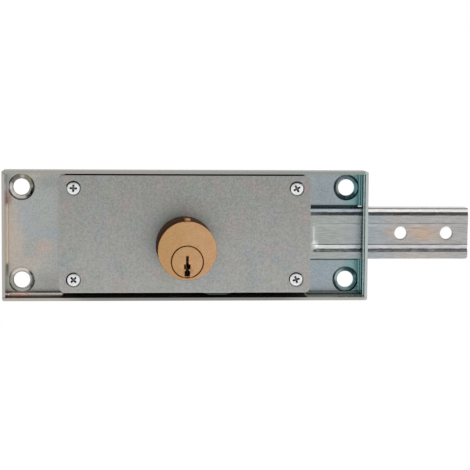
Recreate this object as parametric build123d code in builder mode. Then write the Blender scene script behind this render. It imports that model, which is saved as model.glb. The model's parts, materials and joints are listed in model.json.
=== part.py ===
from build123d import *
import os
from math import acos, atan, cos, degrees, pi, radians, sin, sqrt, tan

# Frame: X runs to the right towards the bolt's free end, Z is up and Y points into the shutter.
# The origin is the centre of the fixing holes, in the plane of the case's back.
# A height is measured forwards from that plane, so what stands at height h lies at Y = -h.

# Case, a tray folded from one sheet
case_length = 155.0
case_width = 55.0
case_depth = 15.4
case_sheet = 1.25
case_bend = 0.9
case_seam = 0.15
case_corner = 0.8

# Fixing holes in the floor of the case, each in a pressed dish
fixing_inset = 7.5
fixing_hole = 7.0
fixing_dish = 11.3
fixing_dish_floor = 10.1
fixing_dish_depth = 0.65
fixing_lip = 0.4

# Cover plate
cover_length = 106.5
cover_sheet = 1.2
cover_below_rim = 1.4
cover_gap_above = 0.75
cover_gap_below = 2.05
cover_corner = 2.3
cover_x = -0.3
cover_screw_inset_x = 5.9
cover_screw_inset_z = 5.45
cover_countersink = 6.4
tab_from_centre = 13.5
tab_base = 12.0
tab_tip = 7.0
tab_reach = 1.0

# Countersunk screws of the cover, with a cross recess
countersink_angle = 90.0
cover_screw_thread = 3.0
cover_screw_head = 5.4
cover_screw_length = 8.0
recess_width = 3.2
recess_blade = 0.7
recess_depth = 1.2
recess_taper = 12.0

# Posts that carry the cover, riveted into the floor
post_diameter = 6.4
post_rivet = 4.0
post_edge = 0.3

# Bolt, a profiled bar with its legs towards the floor
bolt_height = 22.4
bolt_axis_z = 0.6
bolt_stand_out = 45.2
bolt_depth = 5.15
bolt_sheet = 1.8
bolt_edge = 1.35
bolt_tip_round = 1.2
upper_groove_flank = 0.65
upper_groove_return = 1.55
upper_groove_depth = 0.45
lower_groove_flank = 1.75
lower_groove_return = 1.25
lower_groove_depth = 0.9
groove_below_pad = 0.1
pad_length = 67.5
pad_above_axis = 4.1
pad_below_axis = 4.95
pad_sink = 0.4
pad_corner = 2.2
pad_side_angle = 30.0
rod_hole = 5.3
rod_hole_spacing = 20.0
rod_hole_from_tip = 9.4
rod_hole_round = 0.3

# Brass cylinder
cylinder_x = -0.7
cylinder_z = -4.0
cylinder_diameter = 24.2
cylinder_stand_out = 25.5
cylinder_edge = 0.15
cylinder_wall = 1.0
strip_width = 3.0
strip_thickness = 1.2
strip_proud = 0.25
lug_width = 2.4
lug_height = 1.2
lug_length = 2.0
lug_edge = 0.3

# Plug of the cylinder and its keyway, measured from the plug's axis
plug_diameter = 12.0
plug_head = 13.0
plug_head_thickness = 1.5
plug_edge = 0.3
key_slot_top = 2.6
key_slot_width = 1.2
ward_top = -0.95
ward_width = 2.7
neck_top = -3.0
neck_width = 1.35
key_foot_top = -3.7
key_foot_width = 2.3
key_foot_bottom = -7.0
funnel_diameter = 5.8
funnel_depth = 0.45
funnel_drop = 2.3
keyway_beyond_pins = 2.6

# Pin stacks, standing at the shear line
pin_diameter = 2.5
pin_pitch = 3.9
first_pin_from_face = 5.4
pin_chamber_floor = -2.6
key_pin_lengths = [4.9, 6.3, 5.6, 6.8, 5.2]
key_pin_tip = 0.7
pin_edge = 0.25
driver_pin_length = 5.0
shear_gap = 0.15
spring_wire = 0.3
spring_diameter = 2.1
spring_turns = 5.0

# Rack and pinion
tooth_module = 1.0
tooth_count = 8
pressure_angle = 20.0
pinion_shift = 0.4
pinion_addendum = 1.1
rack_addendum = 0.85
tooth_tip_gap = 0.25
tooth_backlash = 0.16
flank_steps = 6
pinion_overlap = 0.4
flange_overlap = 0.95
flange_thickness = 1.8
tongue_width = 2.6
tongue_height = 1.0
tongue_length = 9.0
pinion_screw_thread = 3.0
pinion_screw_head = 5.4
pinion_screw_head_height = 1.7
pinion_screw_grip = 4.5
screw_slot_width = 0.9
screw_slot_depth = 0.6

# Sleeves that guide the tail of the bolt, and the screws through them
sleeve_spacing = 13.0
sleeve_diameter = 6.0
sleeve_collar = 8.4
sleeve_collar_height = 2.65
cylinder_screw_thread = 4.0
cylinder_screw_head = 6.4
cylinder_screw_grip = 6.0
rack_back = 1.7
tail_beyond_slot = 5.0
tail_before_pinion = 2.6

# Clearances
running_gap = 0.05
thread_gap = 0.05
sliding_gap = 0.1
screw_hole_gap = 0.15
end_gap = 0.05
window_gap = 0.25
window_past_fold = 0.2
hole_beyond_screw = 0.8

# Heights
cover_front = case_depth - cover_below_rim
cover_back = cover_front - cover_sheet
cylinder_front = cover_front + cylinder_stand_out
bolt_back = case_sheet + sliding_gap
bolt_front = bolt_back + bolt_depth
web_back = bolt_front - bolt_sheet
collar_back = bolt_front + sliding_gap
cylinder_back = collar_back + sleeve_collar_height
plug_back = cylinder_back - sliding_gap
flange_back = plug_back - flange_thickness
pinion_back = web_back - pinion_overlap
post_thread_end = cover_front - cover_screw_length - hole_beyond_screw

# Cover plate and its screws
cover_width = case_width - 2 * case_sheet - cover_gap_above - cover_gap_below
cover_z = (cover_gap_below - cover_gap_above) / 2
cover_screw_x = cover_length / 2 - cover_screw_inset_x
cover_screw_z = cover_width / 2 - cover_screw_inset_z
cover_screw_places = [
    (cover_x + side * cover_screw_x, cover_z + level * cover_screw_z) for level in (1, -1) for side in (-1, 1)
]
tab_side_angle = degrees(atan(2 * tab_reach / (tab_base - tab_tip)))

# Cylinder, plug and pins
cylinder_radius = cylinder_diameter / 2
plug_radius = plug_diameter / 2
plug_bore = plug_radius + running_gap
head_bore = plug_head / 2 + running_gap
plug_z = cylinder_z - cylinder_radius + cylinder_wall + head_bore
shear_line = plug_z + plug_bore
strip_bottom = cylinder_z + cylinder_radius - strip_thickness
strip_edge_drop = cylinder_radius - sqrt(cylinder_radius**2 - strip_width**2 / 4)
pin_bore = pin_diameter / 2 + running_gap
pin_heights = [
    cylinder_front - first_pin_from_face - pin_pitch * place for place in range(len(key_pin_lengths))
]
keyway_end = pin_heights[-1] - keyway_beyond_pins
driver_top = shear_line + running_gap + driver_pin_length

# Rack and pinion
pitch_radius = tooth_module * tooth_count / 2
base_radius = pitch_radius * cos(radians(pressure_angle))
tooth_pitch = pi * tooth_module
bolt_throw = tooth_pitch * tooth_count
rack_line = pitch_radius + pinion_shift * tooth_module
pinion_tip_radius = pitch_radius + pinion_addendum * tooth_module
pinion_root_radius = rack_line - (rack_addendum + tooth_tip_gap) * tooth_module
rack_tip_z = plug_z + rack_line - rack_addendum * tooth_module
rack_root_z = plug_z + pinion_tip_radius + tooth_tip_gap * tooth_module

# Tail of the bolt and the sleeves in its slot
slot_width = sleeve_diameter + 2 * sliding_gap
sleeve_z = rack_root_z + rack_back + slot_width / 2
sleeve_places = [(cylinder_x - sleeve_spacing / 2, sleeve_z), (cylinder_x + sleeve_spacing / 2, sleeve_z)]
slot_left = sleeve_places[0][0] - bolt_throw - sliding_gap
slot_right = sleeve_places[1][0] + sliding_gap
tail_left = slot_left - slot_width / 2 - tail_beyond_slot
tail_right = cylinder_x + pinion_tip_radius + tail_before_pinion
bolt_right = case_length / 2 + bolt_stand_out

os.makedirs("parts", exist_ok=True)


# Plane that faces the viewer at the given height
def front_plane(x, z, height):
    return Plane(origin=(x, -height, z), x_dir=(1, 0, 0), z_dir=(0, -1, 0))


# Plane that faces the shutter at the given height, with its second axis pointing down
def back_plane(x, z, height):
    return Plane(origin=(x, -height, z), x_dir=(1, 0, 0), z_dir=(0, 1, 0))


# Plane for the section of a turned piece: its first axis is the radius and its second the height
def turning_plane(x, z):
    return Plane(origin=(x, 0, z), x_dir=(1, 0, 0), z_dir=(0, 0, -1))


# Axis of a turned piece
def turning_axis(x, z):
    return Axis((x, 0, z), (0, 1, 0))


# Writes one finished piece
def save(piece, label):
    piece.part.label = label
    export_step(piece.part, f"parts/{label}.step")


# Section of the tray's sheet: a rectangle with its back corners rounded, open to the front
def tray_section(width, depth, back, bend):
    with BuildSketch(mode=Mode.PRIVATE) as section:
        with Locations((0, -back)):
            Rectangle(width, depth, align=(Align.CENTER, Align.MAX))
        fillet(section.vertices().group_by(Axis.Y)[-1], radius=bend)
    return section.sketch


# Case
outer_bend = case_bend + case_sheet
window_run = outer_bend + window_past_fold
inner_length = case_length - 2 * case_sheet
inner_width = case_width - 2 * case_sheet
fixing_x = case_length / 2 - fixing_inset
fixing_z = case_width / 2 - fixing_inset
fixing_places = [(side * fixing_x, level * fixing_z) for level in (1, -1) for side in (-1, 1)]
across = Plane(origin=(0, 0, 0), x_dir=(0, 0, 1), z_dir=(-1, 0, 0))

with BuildPart() as case:
    # Outer form: the long folds, met by the folds of the ends
    with BuildSketch(across):
        add(tray_section(case_width, case_depth, 0, outer_bend))
    extrude(amount=case_length / 2, both=True)
    with BuildSketch(Plane.XY):
        add(tray_section(case_length, case_depth, 0, outer_bend))
    extrude(amount=case_width / 2, both=True, mode=Mode.INTERSECT)
    # Hollow of the tray
    with BuildPart(mode=Mode.SUBTRACT):
        with BuildSketch(across):
            add(tray_section(inner_width, case_depth, case_sheet, case_bend))
        extrude(amount=case_length / 2, both=True)
        with BuildSketch(Plane.XY):
            add(tray_section(inner_length, case_depth, case_sheet, case_bend))
        extrude(amount=case_width / 2, both=True, mode=Mode.INTERSECT)
    # Outer corners of the long walls, dressed round
    wall_ends = case.edges().filter_by(Axis.Y)
    fillet(wall_ends.group_by(Axis.Z)[0] + wall_ends.group_by(Axis.Z)[-1], radius=case_corner)
    # Seams beside the end walls, from the rim down to the fold
    with BuildSketch(Plane.XZ.offset(outer_bend)):
        with GridLocations(case_length - case_sheet, inner_width - case_seam, 2, 2):
            Rectangle(case_sheet, case_seam)
    extrude(amount=case_depth, mode=Mode.SUBTRACT)
    # Window for the bolt, cut from the right end wall into the floor
    with BuildSketch(Plane.XY.offset(bolt_axis_z - bolt_height / 2 - window_gap)):
        with Locations((case_length / 2 - window_run, 0)):
            Rectangle(2 * window_run, bolt_front + window_gap, align=(Align.MIN, Align.MAX))
    extrude(amount=bolt_height + 2 * window_gap, mode=Mode.SUBTRACT)
    # Fixing holes in their dishes
    for x, z in fixing_places:
        with BuildSketch(turning_plane(x, z)):
            with BuildLine():
                Polyline(
                    (0, 0),
                    (fixing_hole / 2, 0),
                    (fixing_hole / 2, fixing_lip),
                    (fixing_dish_floor / 2, case_sheet - fixing_dish_depth),
                    (fixing_dish / 2, case_sheet),
                    (0, case_sheet),
                    close=True,
                )
            make_face()
        revolve(axis=turning_axis(x, z), mode=Mode.SUBTRACT)
    # Holes for the rivets of the posts
    with Locations([front_plane(x, z, case_sheet) for x, z in cover_screw_places]):
        Hole(post_rivet / 2 + end_gap, depth=case_sheet)
    # Holes for the cylinder's screws, countersunk from the back
    with Locations([back_plane(x, z, 0) for x, z in sleeve_places]):
        CounterSinkHole(
            cylinder_screw_thread / 2 + screw_hole_gap,
            cylinder_screw_head / 2 + screw_hole_gap,
            depth=case_sheet,
            counter_sink_angle=countersink_angle,
        )
save(case, "case")

# Cover plate
with BuildPart() as cover_plate:
    with BuildSketch(front_plane(cover_x, cover_z, cover_back)):
        RectangleRounded(cover_length, cover_width, cover_corner)
        with Locations((tab_from_centre, -cover_width / 2)):
            Trapezoid(tab_base * 2 - tab_tip, 2 * tab_reach, tab_side_angle, rotation=180)
        with Locations((cylinder_x - cover_x, cylinder_z - cover_z)):
            Circle(cylinder_radius + screw_hole_gap, mode=Mode.SUBTRACT)
    extrude(amount=cover_sheet)
    with Locations([front_plane(x, z, cover_front) for x, z in cover_screw_places]):
        CounterSinkHole(
            cover_screw_thread / 2 + screw_hole_gap,
            cover_countersink / 2,
            depth=cover_sheet,
            counter_sink_angle=countersink_angle,
        )
save(cover_plate, "cover_plate")

# Screws of the cover
cone_slope = tan(radians(countersink_angle / 2))
cover_head_top = cover_front - (cover_countersink - cover_screw_head) / 2 / cone_slope + end_gap
cover_head_height = (cover_screw_head - cover_screw_thread) / 2 / cone_slope
cover_screw_end = cover_head_top - cover_screw_length
post_mouth = cover_screw_head / 2 - (cover_head_top - cover_back) * cone_slope + end_gap

for number, (x, z) in enumerate(cover_screw_places, start=1):
    with BuildPart() as cover_screw:
        with BuildSketch(turning_plane(x, z)):
            with BuildLine():
                Polyline(
                    (0, cover_screw_end),
                    (cover_screw_thread / 2, cover_screw_end),
                    (cover_screw_thread / 2, cover_head_top - cover_head_height),
                    (cover_screw_head / 2, cover_head_top),
                    (0, cover_head_top),
                    close=True,
                )
            make_face()
        revolve(axis=turning_axis(x, z))
        with BuildSketch(back_plane(x, z, cover_head_top)):
            Rectangle(recess_width, recess_blade)
            Rectangle(recess_blade, recess_width)
        extrude(amount=recess_depth, taper=recess_taper, mode=Mode.SUBTRACT)
    save(cover_screw, f"cover_screw_{number}")

# Posts of the cover
for number, (x, z) in enumerate(cover_screw_places, start=1):
    with BuildPart() as post:
        with BuildSketch(front_plane(x, z, case_sheet)):
            Circle(post_diameter / 2)
        extrude(amount=cover_back - case_sheet)
        chamfer(post.edges().sort_by(Axis.Y)[0], length=post_edge)
        with BuildSketch(front_plane(x, z, end_gap)):
            Circle(post_rivet / 2)
        extrude(amount=case_sheet - end_gap)
        with Locations(front_plane(x, z, cover_back)):
            CounterSinkHole(
                cover_screw_thread / 2 + thread_gap,
                post_mouth,
                depth=cover_back - post_thread_end,
                counter_sink_angle=countersink_angle,
            )
    save(post, f"post_{number}")

# Body of the cylinder
with BuildPart() as cylinder_body:
    with BuildSketch(front_plane(cylinder_x, cylinder_z, cylinder_back)):
        Circle(cylinder_radius)
    extrude(amount=cylinder_front - cylinder_back)
    chamfer(cylinder_body.edges().filter_by(GeomType.CIRCLE), length=cylinder_edge)
    # Bore of the plug, wider at its head
    with BuildSketch(turning_plane(cylinder_x, plug_z)):
        with BuildLine():
            Polyline(
                (0, cylinder_back),
                (plug_bore, cylinder_back),
                (plug_bore, cylinder_front - plug_head_thickness - running_gap),
                (head_bore, cylinder_front - plug_head_thickness - running_gap),
                (head_bore, cylinder_front - plug_edge),
                (head_bore + plug_edge, cylinder_front),
                (0, cylinder_front),
                close=True,
            )
        make_face()
    revolve(axis=turning_axis(cylinder_x, plug_z), mode=Mode.SUBTRACT)
    # Pin chambers
    with BuildSketch(Plane.XY.offset(plug_z)):
        with Locations([(cylinder_x, -height) for height in pin_heights]):
            Circle(pin_bore)
    extrude(amount=cylinder_radius * 2, mode=Mode.SUBTRACT)
    # Slot of the strip that closes them
    with BuildSketch(Plane.XY.offset(strip_bottom)):
        with Locations((cylinder_x, -cylinder_back)):
            Rectangle(strip_width, cylinder_front - cylinder_back, align=(Align.CENTER, Align.MAX))
    extrude(amount=cylinder_radius, mode=Mode.SUBTRACT)
    # Threaded holes of the screws from the back
    with BuildSketch(Plane.XZ.offset(cylinder_back)):
        with Locations(sleeve_places):
            Circle(cylinder_screw_thread / 2 + thread_gap)
    extrude(amount=cylinder_screw_grip + hole_beyond_screw, mode=Mode.SUBTRACT)
save(cylinder_body, "cylinder_body")

# Strip over the pin chambers, lower where it passes under the cover
with BuildPart() as chamber_strip:
    with BuildSketch(front_plane(cylinder_x, strip_bottom, cylinder_back)):
        Rectangle(strip_width, strip_thickness - strip_edge_drop, align=(Align.CENTER, Align.MIN))
    extrude(amount=cylinder_front - cylinder_back)
    with BuildSketch(front_plane(cylinder_x, strip_bottom, cover_front + sliding_gap)):
        Rectangle(strip_width, strip_thickness + strip_proud, align=(Align.CENTER, Align.MIN))
    extrude(amount=cylinder_front - cover_front - sliding_gap)
    chamfer(chamber_strip.faces().sort_by(Axis.Z)[-1].edges(), length=strip_proud)
    # Lug at its front end, flush with the face of the cylinder
    with BuildSketch(front_plane(cylinder_x, strip_bottom, cylinder_front - lug_length)):
        Rectangle(lug_width, strip_thickness + lug_height, align=(Align.CENTER, Align.MIN))
    extrude(amount=lug_length)
    chamfer(chamber_strip.faces().sort_by(Axis.Z)[-1].edges(), length=lug_edge)
save(chamber_strip, "chamber_strip")

# Plug
with BuildPart() as plug:
    with BuildSketch(turning_plane(cylinder_x, plug_z)):
        with BuildLine():
            Polyline(
                (0, plug_back),
                (plug_radius, plug_back),
                (plug_radius, cylinder_front - plug_head_thickness),
                (plug_head / 2, cylinder_front - plug_head_thickness),
                (plug_head / 2, cylinder_front - plug_edge),
                (plug_head / 2 - plug_edge, cylinder_front),
                (0, cylinder_front),
                close=True,
            )
        make_face()
    revolve(axis=turning_axis(cylinder_x, plug_z))
    # Keyway, open downwards
    with BuildSketch(front_plane(cylinder_x, plug_z, keyway_end)):
        for top, bottom, width in (
            (key_slot_top, key_foot_bottom, key_slot_width),
            (ward_top, neck_top, ward_width),
            (neck_top, key_foot_top, neck_width),
            (key_foot_top, key_foot_bottom, key_foot_width),
        ):
            with Locations((0, top)):
                Rectangle(width, top - bottom, align=(Align.CENTER, Align.MAX))
    extrude(amount=cylinder_front - keyway_end, mode=Mode.SUBTRACT)
    # Shallow funnel that leads the key in
    with BuildSketch(turning_plane(cylinder_x, plug_z - funnel_drop)):
        with BuildLine():
            Polyline(
                (0, cylinder_front - funnel_depth),
                (funnel_diameter / 2, cylinder_front),
                (0, cylinder_front),
                close=True,
            )
        make_face()
    revolve(axis=turning_axis(cylinder_x, plug_z - funnel_drop), mode=Mode.SUBTRACT)
    # Pin chambers
    with BuildSketch(Plane.XY.offset(plug_z + pin_chamber_floor)):
        with Locations([(cylinder_x, -height) for height in pin_heights]):
            Circle(pin_bore)
    extrude(amount=plug_diameter, mode=Mode.SUBTRACT)
    # Groove for the pinion's tongue, and the thread of its screw
    with BuildSketch(front_plane(cylinder_x, plug_z, plug_back)):
        Rectangle(tongue_length + 2 * end_gap, tongue_width + 2 * end_gap)
    extrude(amount=tongue_height + end_gap, mode=Mode.SUBTRACT)
    with BuildSketch(front_plane(cylinder_x, plug_z, plug_back)):
        Circle(pinion_screw_thread / 2 + thread_gap)
    extrude(amount=pinion_screw_grip + hole_beyond_screw, mode=Mode.SUBTRACT)
save(plug, "plug")

# Pin stacks: a key pin in the plug, a driver pin in the cylinder and a spring under the strip
for number, (height, key_pin_length) in enumerate(zip(pin_heights, key_pin_lengths), start=1):
    with BuildPart() as key_pin:
        with BuildSketch(Plane.XY.offset(plug_z + plug_bore - shear_gap)):
            with Locations((cylinder_x, -height)):
                Circle(pin_diameter / 2)
        extrude(amount=-key_pin_length)
        chamfer(key_pin.edges().sort_by(Axis.Z)[0], length=key_pin_tip)
        chamfer(key_pin.edges().sort_by(Axis.Z)[-1], length=pin_edge)
    save(key_pin, f"key_pin_{number}")

    with BuildPart() as driver_pin:
        with BuildSketch(Plane.XY.offset(shear_line + running_gap)):
            with Locations((cylinder_x, -height)):
                Circle(pin_diameter / 2)
        extrude(amount=driver_pin_length)
        chamfer(driver_pin.edges().filter_by(GeomType.CIRCLE), length=pin_edge)
    save(driver_pin, f"driver_pin_{number}")

    spring_bottom = driver_top + end_gap + spring_wire / 2
    spring_height = strip_bottom - end_gap - spring_wire / 2 - spring_bottom
    with BuildPart() as pin_spring:
        with BuildLine(Plane((cylinder_x, -height, spring_bottom))) as coil:
            Helix(
                pitch=spring_height / spring_turns,
                height=spring_height,
                radius=(spring_diameter - spring_wire) / 2,
            )
        with BuildSketch(Plane(origin=coil.line @ 0, z_dir=coil.line % 0)):
            Circle(spring_wire / 2)
        sweep()
    save(pin_spring, f"pin_spring_{number}")


# Half of a pinion tooth's angle at a radius, for an involute flank
def half_tooth(radius):
    roll = acos(base_radius / radius)
    return tooth_half_angle - (tan(roll) - roll)


# Point at a radius and an angle from the tooth's centre line
def tooth_point(radius, angle):
    return (radius * sin(angle), radius * cos(angle))


# Pinion with its flange, which keeps the plug in the cylinder
pressure = radians(pressure_angle)
pinion_tooth = tooth_pitch / 2 + 2 * pinion_shift * tooth_module * tan(pressure) - tooth_backlash / 2
tooth_half_angle = pinion_tooth / 2 / pitch_radius + tan(pressure) - pressure
flank_radii = [
    base_radius + (pinion_tip_radius - base_radius) * step / flank_steps for step in range(flank_steps + 1)
]
right_flank = [tooth_point(radius, half_tooth(radius)) for radius in flank_radii]
left_flank = [tooth_point(radius, -half_tooth(radius)) for radius in reversed(flank_radii)]

with BuildPart() as pinion:
    with BuildSketch(front_plane(cylinder_x, plug_z, pinion_back)):
        Circle(pinion_root_radius)
        with PolarLocations(0, tooth_count):
            with BuildSketch(mode=Mode.PRIVATE) as tooth:
                with BuildLine():
                    Spline(right_flank)
                    ThreePointArc(right_flank[-1], (0, pinion_tip_radius), left_flank[0])
                    Spline(left_flank)
                    Polyline(left_flank[-1], (0, 0), right_flank[0])
                make_face()
            add(tooth.sketch)
    extrude(amount=flange_back - pinion_back)
    with BuildSketch(front_plane(cylinder_x, plug_z, flange_back)):
        Circle(plug_bore + flange_overlap)
    extrude(amount=flange_thickness)
    with BuildSketch(front_plane(cylinder_x, plug_z, plug_back)):
        Rectangle(tongue_length, tongue_width)
    extrude(amount=tongue_height)
    with BuildSketch(front_plane(cylinder_x, plug_z, pinion_back)):
        Circle(pinion_screw_thread / 2 + screw_hole_gap)
    extrude(amount=cylinder_back, mode=Mode.SUBTRACT)
save(pinion, "pinion")

# Screw of the pinion
with BuildPart() as pinion_screw:
    with BuildSketch(front_plane(cylinder_x, plug_z, pinion_back - pinion_screw_head_height)):
        Circle(pinion_screw_head / 2)
    extrude(amount=pinion_screw_head_height)
    with BuildSketch(front_plane(cylinder_x, plug_z, pinion_back)):
        Circle(pinion_screw_thread / 2)
    extrude(amount=plug_back + pinion_screw_grip - pinion_back)
    with BuildSketch(front_plane(cylinder_x, plug_z, pinion_back - pinion_screw_head_height)):
        Rectangle(pinion_screw_head * 2, screw_slot_width)
    extrude(amount=screw_slot_depth, mode=Mode.SUBTRACT)
save(pinion_screw, "pinion_screw")

# Shouldered sleeves, and the screws through them into the cylinder
screw_head_height = (cylinder_screw_head - cylinder_screw_thread) / 2 / cone_slope
for number, (x, z) in enumerate(sleeve_places, start=1):
    with BuildPart() as sleeve:
        with BuildSketch(front_plane(x, z, case_sheet)):
            Circle(sleeve_diameter / 2)
        extrude(amount=cylinder_back - case_sheet)
        with BuildSketch(front_plane(x, z, collar_back)):
            Circle(sleeve_collar / 2)
        extrude(amount=sleeve_collar_height)
        with BuildSketch(front_plane(x, z, case_sheet)):
            Circle(cylinder_screw_thread / 2 + screw_hole_gap)
        extrude(amount=cylinder_back - case_sheet, mode=Mode.SUBTRACT)
    save(sleeve, f"sleeve_{number}")

    with BuildPart() as cylinder_screw:
        with BuildSketch(turning_plane(x, z)):
            with BuildLine():
                Polyline(
                    (0, end_gap),
                    (cylinder_screw_head / 2, end_gap),
                    (cylinder_screw_thread / 2, end_gap + screw_head_height),
                    (cylinder_screw_thread / 2, cylinder_back + cylinder_screw_grip),
                    (0, cylinder_back + cylinder_screw_grip),
                    close=True,
                )
            make_face()
        revolve(axis=turning_axis(x, z))
        with BuildSketch(front_plane(x, z, end_gap)):
            Rectangle(cylinder_screw_head * 2, screw_slot_width)
        extrude(amount=screw_slot_depth, mode=Mode.SUBTRACT)
    save(cylinder_screw, f"cylinder_screw_{number}")


# Outline of a groove across the bar, as seen along X, sunk from the given height
def groove_outline(top, flank, back_flank, depth, height):
    return [(-height, top), (-height + depth, top - flank), (-height, top - flank - back_flank)]


# Bolt
upper_groove = (
    bolt_axis_z + bolt_height / 2 - bolt_edge,
    upper_groove_flank,
    upper_groove_return,
    upper_groove_depth,
)
lower_groove = (
    bolt_axis_z - pad_below_axis - groove_below_pad,
    lower_groove_flank,
    lower_groove_return,
    lower_groove_depth,
)
profile_left = bolt_right - pad_length
rack_gap_at_line = tooth_pitch / 2 + tooth_backlash / 2
rack_line_z = plug_z + rack_line
rack_gap_at_root = rack_gap_at_line - 2 * (rack_root_z - rack_line_z) * tan(pressure)
rack_cut_below = rack_addendum * tooth_module
rack_mouth_z = rack_tip_z - rack_cut_below
rack_gap_at_mouth = rack_gap_at_line + 2 * (rack_line_z - rack_mouth_z) * tan(pressure)

with BuildPart() as bolt:
    # Channel with the upper groove pressed into it
    with BuildSketch(Plane.YZ.offset(tail_left)) as channel:
        with Locations((-bolt_back, bolt_axis_z)):
            Rectangle(bolt_depth, bolt_height, align=(Align.MAX, Align.CENTER))
        fillet(channel.vertices().group_by(Axis.X)[0], radius=bolt_edge)
        with Locations((-bolt_back, bolt_axis_z)):
            Rectangle(
                bolt_depth - bolt_sheet,
                bolt_height - 2 * bolt_sheet,
                align=(Align.MAX, Align.CENTER),
                mode=Mode.SUBTRACT,
            )
        with BuildLine():
            Polyline(groove_outline(*upper_groove, web_back), close=True)
        make_face()
        with BuildLine():
            Polyline(groove_outline(*upper_groove, bolt_front), close=True)
        make_face(mode=Mode.SUBTRACT)
    extrude(amount=bolt_right - tail_left)
    # Lower groove, from the profiled end only
    with BuildSketch(Plane.YZ.offset(profile_left)):
        with BuildLine():
            Polyline(groove_outline(*lower_groove, web_back), close=True)
        make_face()
    extrude(amount=pad_length)
    with BuildSketch(Plane.YZ.offset(profile_left)):
        with BuildLine():
            Polyline(groove_outline(*lower_groove, bolt_front), close=True)
        make_face()
    extrude(amount=pad_length, mode=Mode.SUBTRACT)
    # Sunk pad between the grooves, open at the tip
    with BuildSketch(back_plane(profile_left, bolt_axis_z, bolt_front)):
        with Locations((pad_length, (pad_below_axis - pad_above_axis) / 2)):
            RectangleRounded(2 * pad_length, pad_above_axis + pad_below_axis, pad_corner)
    extrude(amount=pad_sink, taper=pad_side_angle, mode=Mode.SUBTRACT)
    # Holes for the extension rod
    hole_centre = bolt_right - rod_hole_from_tip - rod_hole_spacing / 2
    with Locations(front_plane(hole_centre, bolt_axis_z, bolt_front - pad_sink)):
        with GridLocations(rod_hole_spacing, 1, 2, 1):
            Hole(rod_hole / 2, depth=bolt_sheet)
    rod_hole_edges = bolt.edges().filter_by(GeomType.CIRCLE).filter_by(
        lambda edge: abs(edge.radius - rod_hole / 2) < end_gap
    )
    fillet(rod_hole_edges.group_by(Axis.Y)[0], radius=rod_hole_round)
    # Corners of the tip
    corner_z = bolt_height / 2 - bolt_tip_round
    with BuildSketch(Plane.XZ):
        for level in (1, -1):
            with Locations((bolt_right - bolt_tip_round, bolt_axis_z + level * corner_z)):
                with Locations((bolt_tip_round, level * bolt_tip_round)):
                    Rectangle(2 * bolt_tip_round, 2 * bolt_tip_round)
                Circle(bolt_tip_round, mode=Mode.SUBTRACT)
    extrude(amount=case_depth, mode=Mode.SUBTRACT)
    # Narrow tail, its lower edge cut away for the pinion
    with BuildSketch(Plane.XZ):
        with Locations((tail_right, rack_tip_z)):
            Rectangle(tail_right - tail_left, bolt_height, align=(Align.MAX, Align.MAX))
    extrude(amount=bolt_front, mode=Mode.SUBTRACT)
    # Slot for the sleeves
    with BuildSketch(Plane.XZ):
        with Locations(((slot_left + slot_right) / 2, sleeve_z)):
            SlotCenterToCenter(slot_right - slot_left, slot_width)
    extrude(amount=bolt_front, mode=Mode.SUBTRACT)
    # Rack, with one gap more than the pinion passes at either end
    with BuildSketch(Plane.XZ):
        for place in range(-tooth_count - 1, 2):
            with BuildLine():
                gap_x = cylinder_x + place * tooth_pitch
                Polyline(
                    (gap_x - rack_gap_at_mouth / 2, rack_mouth_z),
                    (gap_x + rack_gap_at_mouth / 2, rack_mouth_z),
                    (gap_x + rack_gap_at_root / 2, rack_root_z),
                    (gap_x - rack_gap_at_root / 2, rack_root_z),
                    close=True,
                )
            make_face()
    extrude(amount=bolt_front, mode=Mode.SUBTRACT)
save(bolt, "bolt")
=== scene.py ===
import json
import math
import bmesh
import bpy
from mathutils import Matrix, Vector, noise


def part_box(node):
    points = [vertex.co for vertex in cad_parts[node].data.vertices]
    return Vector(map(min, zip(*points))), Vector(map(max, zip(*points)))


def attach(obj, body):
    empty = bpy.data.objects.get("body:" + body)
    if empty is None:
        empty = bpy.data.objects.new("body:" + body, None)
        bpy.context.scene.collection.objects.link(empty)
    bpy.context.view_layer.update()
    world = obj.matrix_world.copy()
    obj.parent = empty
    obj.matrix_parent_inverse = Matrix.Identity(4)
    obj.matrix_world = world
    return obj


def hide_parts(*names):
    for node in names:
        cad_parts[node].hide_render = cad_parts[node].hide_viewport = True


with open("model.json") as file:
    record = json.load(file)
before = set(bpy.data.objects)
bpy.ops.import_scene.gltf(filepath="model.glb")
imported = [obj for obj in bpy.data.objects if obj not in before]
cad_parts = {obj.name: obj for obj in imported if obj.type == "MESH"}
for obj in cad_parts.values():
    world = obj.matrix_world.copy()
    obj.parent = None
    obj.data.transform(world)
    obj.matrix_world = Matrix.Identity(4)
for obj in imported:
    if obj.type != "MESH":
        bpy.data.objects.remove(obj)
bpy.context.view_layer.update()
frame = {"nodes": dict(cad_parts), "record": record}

mm = 0.001
scene = bpy.context.scene
bodies = frame["record"]["behaviour"]["bodies"]
bodyOf = {node: body for body, nodes in bodies.items() for node in nodes}
slotOf = {part["node"]: part["material_slot"] for part in frame["record"]["subparts"]}
print("frame loaded:", len(frame["nodes"]), "nodes")


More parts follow.
